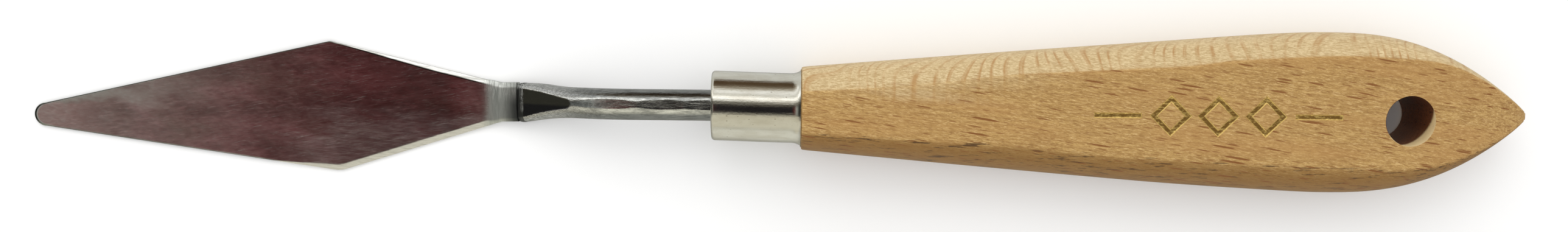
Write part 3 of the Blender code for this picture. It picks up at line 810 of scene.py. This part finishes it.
def make_ferrule():
    """A drawn cup: pierced front wall, rounded shoulder, straight body and a rolled-out mouth."""
    bore = FERRULE_RADIUS - FERRULE_WALL
    shoulder = 0.5 * MM
    flare_x = HANDLE_X - 1.6 * MM
    rod_hole = ROD_RADIUS + 0.04 * MM
    outer = [(FERRULE_X, rod_hole), (FERRULE_X, FERRULE_RADIUS - shoulder)]
    outer += [
        (FERRULE_X + shoulder * (1 - math.cos(a)), FERRULE_RADIUS - shoulder * (1 - math.sin(a)))
        for a in spread(0.0, math.pi / 2, 8)[1:] + [math.pi / 2]
    ]
    outer += [(x, FERRULE_RADIUS) for x in spread(FERRULE_X + shoulder, flare_x, 10)[1:]]
    curl = 0.96  # 1 would turn the flare's edge straight out, and 0 would leave it a parabola
    for share in spread(0.0, 1.0, 12):
        rise = (1 - math.sqrt(1 - curl * share**2)) / (1 - math.sqrt(1 - curl))
        outer.append((mix(flare_x, HANDLE_X, share), FERRULE_RADIUS + FLARE_RISE * rise))
    lip = 0.12 * MM
    outer += [(HANDLE_X - lip, FLARE_RADIUS), (HANDLE_X - lip * 0.3, FLARE_RADIUS - lip * 0.3)]
    outer.append((HANDLE_X, FLARE_RADIUS - lip))
    inner = [(HANDLE_X, bore + 0.3 * MM), (flare_x, bore)]
    inner += [(FERRULE_X + FERRULE_WALL, bore), (FERRULE_X + FERRULE_WALL, rod_hole)]
    profile = outer + inner
    builder = bmesh.new()
    loops = []
    for i in range(FERRULE_SIDES):
        turn = 2 * math.pi * i / FERRULE_SIDES
        y, z = math.cos(turn), math.sin(turn)
        ring = [(x, stray(x) + radius * y, HALF_THICKNESS + radius * z) for x, radius in profile]
        loops.append([builder.verts.new(point) for point in ring])
    for i, loop in enumerate(loops):
        for j in range(len(profile)):
            builder.faces.new((loops[i - 1][j - 1], loop[j - 1], loop[j], loops[i - 1][j]))
    mesh = finish_mesh("nickel_ferrule", builder, sharp=32)
    return new_piece("nickel_ferrule", mesh, "ferrule", nickel_plate())


# Neck, weld and blade share one centre line in side view

REAR_BEND_RADIUS = REAR_BEND_RUN / math.sin(BEND_ANGLE)
FRONT_BEND_RADIUS = FRONT_BEND_RUN / math.sin(BEND_ANGLE)
BLADE_Z = PLATE_THICKNESS / 2
BEND_DROP = (REAR_BEND_RADIUS + FRONT_BEND_RADIUS) * (1 - math.cos(BEND_ANGLE))
RAMP_RUN = (HALF_THICKNESS - BLADE_Z - BEND_DROP) / math.tan(BEND_ANGLE)
FRONT_BEND_X = WELD.x - FRONT_BEND_RUN
REAR_BEND_X = WELD.x + RAMP_RUN
ROD_X = REAR_BEND_X + REAR_BEND_RUN


def centre_line(x):
    """Height and slope of the steel's centre line at x."""
    if x <= FRONT_BEND_X:
        return BLADE_Z, 0.0
    if x < WELD.x:
        bent = min((x - FRONT_BEND_X) / ROOT_BEND_RUN, 1.0)
        angle = ROOT_SLOPE * bent
        run = x - FRONT_BEND_X - ROOT_BEND_RUN * bent / 2
        return BLADE_Z + run * math.tan(angle), angle
    if x < REAR_BEND_X:
        start = BLADE_Z + FRONT_BEND_RADIUS * (1 - math.cos(BEND_ANGLE))
        return start + (x - WELD.x) * math.tan(BEND_ANGLE), BEND_ANGLE
    if x < ROD_X:
        angle = math.asin((ROD_X - x) / REAR_BEND_RADIUS)
        return HALF_THICKNESS - REAR_BEND_RADIUS * (1 - math.cos(angle)), angle
    return HALF_THICKNESS, 0.0


def grind_depth(x):
    """How deep the crown is ground away at x, as a share of the rod's radius."""
    from_weld = x - WELD.x
    depths = [depth * (1 - ((from_weld - middle) / reach) ** 2) for middle, reach, depth in GRIND_FLATS]
    return max(depths + [0.0]) / ROD_RADIUS


def neck_section(x, line, proud=0.0):
    """Round rod that spreads towards the blade, with a flat ground on it above and below."""
    height, slope = line
    grown = min(max((x - WELD.x) / WEDGE_LENGTH, 0.0), 1.0)
    half_width = mix(WEDGE_HALF_WIDTH, ROD_RADIUS, smooth_step(grown))
    half_depth = mix(WEDGE_HALF_DEPTH, ROD_RADIUS, grown)
    run_out = smooth_step((x - WELD.x - WEDGE_LENGTH) / FACET_RUN_OUT)
    flat_half_width = mix(FACET_HALF_WIDTH, FACET_END_HALF_WIDTH, grown) * (1 - run_out)
    half_gap = half_depth * math.sqrt(1 - (flat_half_width / half_width) ** 2) + proud
    left_over = 1 - grind_depth(x)
    ring = []
    for i in range(SIDES):
        turn = 2 * math.pi * i / SIDES
        off_crown = math.cos(turn - math.pi / 2 - GRIND_TILT)
        ground = min(1.0, left_over / off_crown) if off_crown > 0.5 else 1.0
        across = (half_width + proud) * ground * math.cos(turn) + stray(x)
        deep = max(-half_gap, min(half_gap, half_depth * ground * math.sin(turn)))
        ring.append(Vector((x - deep * math.sin(slope), across, height + deep * math.cos(slope))))
    return ring


def make_neck():
    places = spread(WELD.x + WELD_END * 0.6, WELD.x + WEDGE_LENGTH, 40)
    places += spread(WELD.x + WEDGE_LENGTH, REAR_BEND_X, 8) + spread(REAR_BEND_X, ROD_X, 24)
    places += spread(ROD_X, FERRULE_X, 50) + spread(FERRULE_X, TANG_END_X, 12) + [TANG_END_X]
    mesh = loft_mesh("forged_neck", [neck_section(x, centre_line(x)) for x in places], sharp=24)
    return new_piece("forged_neck", mesh, "neck", ground_steel())


def make_weld():
    """A low bead, ground almost flush, that hides where blade and neck meet."""
    start = WELD.x - WELD_OVERLAP
    end = WELD.x + WELD_END
    low, _ = centre_line(start)
    high, _ = centre_line(end)
    crown = 0.06 * MM
    sunk = 0.03 * MM
    steps = 16
    rings = []
    for i in range(steps + 1):
        share = i / steps
        x, height = mix(start, end, share), mix(low, high, share)
        proud = crown * math.sin(math.pi * share) - sunk
        ring = neck_section(x, (height, BEND_ANGLE), proud)
        full = smooth_step(share * 1.6)
        wide, thick = mix(0.95, 1.0, full), mix(0.72, 1.0, full)
        rings.append([Vector((p.x, p.y * wide, height + (p.z - height) * thick)) for p in ring])
    mesh = loft_mesh("ground_weld", rings, sharp=40)
    return new_piece("ground_weld", mesh, "weld", weld_steel())


def taper_half_width(distance, corner):
    """Half width on one side: two straight tapers, rounded at the tip and the corner."""
    if distance < TIP_RADIUS:
        return math.sqrt(TIP_RADIUS**2 - (TIP_RADIUS - distance) ** 2)
    half_width, from_tip, radius = corner
    back_run = BLADE_LENGTH - FRONT_BEND_RUN / 2 - from_tip
    front_slope = (half_width - TIP_RADIUS) / (from_tip - TIP_RADIUS)
    back_slope = (half_width - ROOT_HALF_WIDTH) / back_run
    front = TIP_RADIUS + (distance - TIP_RADIUS) * front_slope
    corner_run = radius * (front_slope + back_slope) / 2
    into_corner = distance - from_tip + corner_run
    if into_corner < 0:
        return front
    if into_corner < 2 * corner_run:
        return front - into_corner**2 / (2 * radius)
    return max(half_width - (distance - from_tip) * back_slope, ROOT_HALF_WIDTH)


def blade_thickness(distance):
    """At a distance from the tip: a slow taper, and a thick root."""
    root_starts = BLADE_LENGTH - FRONT_BEND_RUN - ROOT_RUN
    if distance > root_starts:
        grown = smooth_step((distance - root_starts) / (BLADE_LENGTH - root_starts))
        return mix(PLATE_THICKNESS, ROOT_THICKNESS, grown)
    return mix(TIP_THICKNESS, PLATE_THICKNESS, min(distance / PLUS_Y_CORNER[1], 1.0))


def soft_ramp(value, ease):
    """0 below -ease, the value itself above ease, rounded between."""
    if value <= -ease:
        return 0.0
    if value >= ease:
        return value
    return (value + ease) ** 2 / (4 * ease)


def bevel_width(distance, corner, bevel, at_root):
    """Fine along the front edge, wider behind the corner and round the tip."""
    width, ahead, run, root_change = bevel
    grown = smooth_step((distance - corner[1] + ahead) / run)
    rim = mix(NOSE_RIM, 0.0, smooth_step(distance / NOSE_RIM_RUN))
    return mix(FRONT_BEVEL, width, grown) + root_change * at_root + rim


def blade_ring(distance):
    """Flat underside and top, a fine edge in front, ground bevels behind."""
    at_root = smooth_step((distance - BLADE_LENGTH + FRONT_BEND_RUN) / ROOT_BEND_RUN)
    left = taper_half_width(distance, PLUS_Y_CORNER) + ROOT_SPREAD * at_root
    right = taper_half_width(distance, MINUS_Y_CORNER)
    from_weld = BLADE_LENGTH - distance
    height, slope = centre_line(WELD.x - from_weld)
    thickness = blade_thickness(distance)
    ease = mix(BEVEL_EASE, ROOT_EASE, at_root)
    plus_y_bevel = bevel_width(distance, PLUS_Y_CORNER, PLUS_Y_BEVEL, at_root)
    minus_y_bevel = bevel_width(distance, MINUS_Y_CORNER, MINUS_Y_BEVEL, at_root)
    top = []
    for i in range(TOP_STEPS + 1):
        across = mix(left, -right, (1 - math.cos(math.pi * i / TOP_STEPS)) / 2)
        edge, bevel = (left - across, plus_y_bevel) if across > 0 else (right + across, minus_y_bevel)
        if distance < TIP_RADIUS:
            edge = min(edge, TIP_RADIUS - math.hypot(TIP_RADIUS - distance, across))
        drop = soft_ramp(bevel - edge, ease) * BEVEL_SLOPE
        top.append((across, max(thickness - drop, EDGE_THICKNESS)))
    bottom = [(mix(-right, left, i / BOTTOM_STEPS), 0.0) for i in range(BOTTOM_STEPS + 1)]
    ring = []
    for across, rise in top + bottom:
        up = rise - PLATE_THICKNESS / 2
        along = from_weld + up * math.sin(slope)
        point = WELD + TO_TIP * along + TO_LEFT * across
        point.z = height + up * math.cos(slope)
        ring.append(point)
    return ring


def make_blade():
    root = BLADE_LENGTH - FRONT_BEND_RUN
    corners = PLUS_Y_CORNER[1] - 0.9 * MM, MINUS_Y_CORNER[1] + 1.2 * MM
    tip = [TIP_RADIUS * (1 - math.cos(math.pi / 2 * i / 20)) for i in range(1, 20)]
    places = [0.004 * MM] + tip + spread(TIP_RADIUS, corners[0], 60)
    places += spread(*corners, 26) + spread(corners[1], root, 44)
    places += spread(root, root + ROOT_BEND_RUN, 10)
    places += spread(root + ROOT_BEND_RUN, BLADE_LENGTH, 12) + [BLADE_LENGTH]
    mesh = loft_mesh("polished_blade", [blade_ring(distance) for distance in places], sharp=24)
    blade = new_piece("polished_blade", mesh, "blade", polished_steel(), body=None)
    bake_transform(blade)
    return blade


def dress_cad_nodes():
    """The glue stays as its CAD solid, hidden round the tang."""
    glue = frame["nodes"]["tang_adhesive"]
    glue.data.materials.clear()
    glue.data.materials.append(epoxy())


# Studio


def make_floor():
    size = 1.6
    builder = bmesh.new()
    bmesh.ops.create_grid(builder, x_segments=1, y_segments=1, size=size)
    mesh = bpy.data.meshes.new("floor")
    builder.to_mesh(mesh)
    builder.free()
    floor = bpy.data.objects.new("floor", mesh)
    floor.location = (0, 0, -0.02 * MM)
    bpy.context.scene.collection.objects.link(floor)
    paper = bpy.data.materials.new("pale_paper")
    paper.use_nodes = True
    shader = paper.node_tree.nodes["Principled BSDF"]
    shader.inputs["Base Color"].default_value = (0.97, 0.97, 0.965, 1)
    shader.inputs["Roughness"].default_value = 0.9
    shader.inputs["Specular IOR Level"].default_value = 0.1
    mesh.materials.append(paper)
    floor.visible_glossy = False


def make_window():
    """A broad soft light behind the +Y side."""
    data = bpy.data.lights.new("window", "AREA")
    data.shape = "RECTANGLE"
    data.size, data.size_y = 0.55, 0.35
    data.energy = 0.6
    data.color = (1.0, 0.985, 0.96)
    window = bpy.data.objects.new("window", data)
    window.location = (-0.05, 0.42, 0.40)
    window.rotation_euler = (-window.location).to_track_quat("-Z", "Y").to_euler()
    window.visible_glossy = False
    bpy.context.scene.collection.objects.link(window)


# What polished metal sees round the knife: (degrees from straight up towards +Y, colour)
ACROSS = (
    (-180, (0.30, 0.30, 0.27)),
    (-139, (0.43, 0.43, 0.38)),
    (-130, (0.60, 0.60, 0.54)),
    (-110, (0.71, 0.715, 0.64)),
    (-81, (0.71, 0.715, 0.64)),
    (-73, (0.55, 0.55, 0.48)),
    (-65, (0.65, 0.63, 0.52)),
    (-25, (0.65, 0.63, 0.52)),
    (-19, (0.20, 0.19, 0.16)),
    (-13, (0.015, 0.015, 0.016)),
    (0, (0.012, 0.012, 0.012)),
    (5.5, (0.03, 0.028, 0.025)),
    (11.5, (0.095, 0.088, 0.072)),
    (17.5, (0.21, 0.20, 0.17)),
    (23.5, (0.60, 0.60, 0.55)),
    (29.5, (1.60, 1.60, 1.56)),
    (32, (1.60, 1.60, 1.56)),
    (36, (1.20, 1.20, 1.15)),
    (42, (0.58, 0.58, 0.53)),
    (48.5, (0.90, 0.90, 0.86)),
    (55, (1.12, 1.14, 1.14)),
    (59.5, (0.75, 0.74, 0.68)),
    (68, (0.34, 0.30, 0.23)),
    (74, (0.16, 0.125, 0.085)),
    (81, (0.085, 0.055, 0.030)),
    (99, (0.095, 0.062, 0.034)),
    (106, (0.66, 0.67, 0.64)),
    (150, (0.66, 0.67, 0.64)),
    (180, (0.30, 0.30, 0.27)),
)
# In the dark part of that sweep: (degrees from straight up towards +X, colour)
ALONG = (
    (-180, (0.10, 0.10, 0.09)),
    (-75, (0.035, 0.034, 0.028)),
    (-58, (0.030, 0.030, 0.024)),
    (-48, (0.13, 0.135, 0.125)),
    (-38, (0.31, 0.33, 0.31)),
    (-31, (0.38, 0.41, 0.38)),
    (-29, (0.30, 0.27, 0.25)),
    (-27, (0.26, 0.165, 0.150)),
    (-24.5, (0.20, 0.133, 0.122)),
    (-21.8, (0.165, 0.092, 0.082)),
    (-19.3, (0.125, 0.046, 0.046)),
    (-17, (0.074, 0.014, 0.014)),
    (-14.3, (0.062, 0.018, 0.016)),
    (-12.4, (0.070, 0.025, 0.022)),
    (-9, (0.022, 0.020, 0.020)),
    (6, (0.010, 0.010, 0.012)),
    (20, (0.05, 0.045, 0.04)),
    (50, (0.25, 0.24, 0.22)),
    (90, (0.45, 0.44, 0.40)),
    (180, (0.30, 0.30, 0.27)),
)
SKY = 1.02  # soft light from all round
SIDE_GLOW = 0.24  # more from +Y, and as much less from -Y
BACKDROP = (0.93, 0.93, 0.925)


def make_world():
    """Soft white all round; reflections see a window, a dark stand over the table and pale walls."""
    world = bpy.data.worlds.new("studio")
    world.use_nodes = True
    sky = Nodes(world.node_tree)

    def ramp(angle, stops):
        share = sky.ranged(angle, -math.pi, math.pi, smooth=False)
        band = sky.node("ShaderNodeValToRGB", [share])
        elements = band.color_ramp.elements
        while len(elements) > 1:
            elements.remove(elements[-1])
        for i, (degrees, colour) in enumerate(stops):
            position = (degrees + 180) / 360
            element = elements[0] if i == 0 else elements.new(position)
            element.position = position
            element.color = (*colour, 1)
        return band.outputs["Color"]

    x, y, z = sky.parts(sky.node("ShaderNodeTexCoord").outputs["Generated"])
    # The distance from the Y axis, with the sign of z, so that slopes along X keep their angle
    from_y_axis = sky.math("SQRT", sky.plus(sky.times(x, x), sky.times(z, z)))
    across = sky.math("ARCTAN2", y, sky.times(from_y_axis, sky.math("SIGN", z)))
    along = sky.math("ARCTAN2", x, z)
    white, black = (1.0, 1.0, 1.0), (0.0, 0.0, 0.0)
    dark_part = ((-180, black), (-17, black), (-13, white), (5, white), (11, black), (180, black))
    seen = sky.mixed(ramp(across, dark_part), ramp(across, ACROSS), ramp(along, ALONG))
    glow = sky.ranged(y, -1, 1, SKY - SIDE_GLOW, SKY + SIDE_GLOW, smooth=False)
    rays = sky.node("ShaderNodeLightPath")
    lit = sky.mixed(rays.outputs["Is Glossy Ray"], glow, seen)
    whole = sky.mixed(rays.outputs["Is Camera Ray"], lit, BACKDROP)
    sky.tree.links.new(whole, sky.tree.nodes["Background"].inputs["Color"])
    bpy.context.scene.world = world


CAMERA_PLACE = (2.24 * MM, 19.27 * MM, 226.5 * MM)
CAMERA_LEAN = math.radians(-5.32)
CAMERA_TURN = math.radians(0.606)
CAMERA_LENS = 33.55  # on a sensor 36 wide, both in millimetres


def make_camera():
    """Above the table at reading distance, leaning a little to frame the knife."""
    data = bpy.data.cameras.new("camera")
    data.sensor_width = 36
    data.lens = CAMERA_LENS
    data.clip_start = 0.01
    camera = bpy.data.objects.new("camera", data)
    camera.location = CAMERA_PLACE
    camera.rotation_euler = (CAMERA_LEAN, 0, CAMERA_TURN)
    bpy.context.scene.collection.objects.link(camera)
    bpy.context.scene.camera = camera


def main():
    make_camera()
    make_handle()
    make_foil(gold_foil())
    make_ferrule()
    make_neck()
    make_weld()
    make_blade()
    dress_cad_nodes()
    make_floor()
    make_window()
    make_world()
    bpy.context.scene.view_settings.view_transform = "Standard"


main()
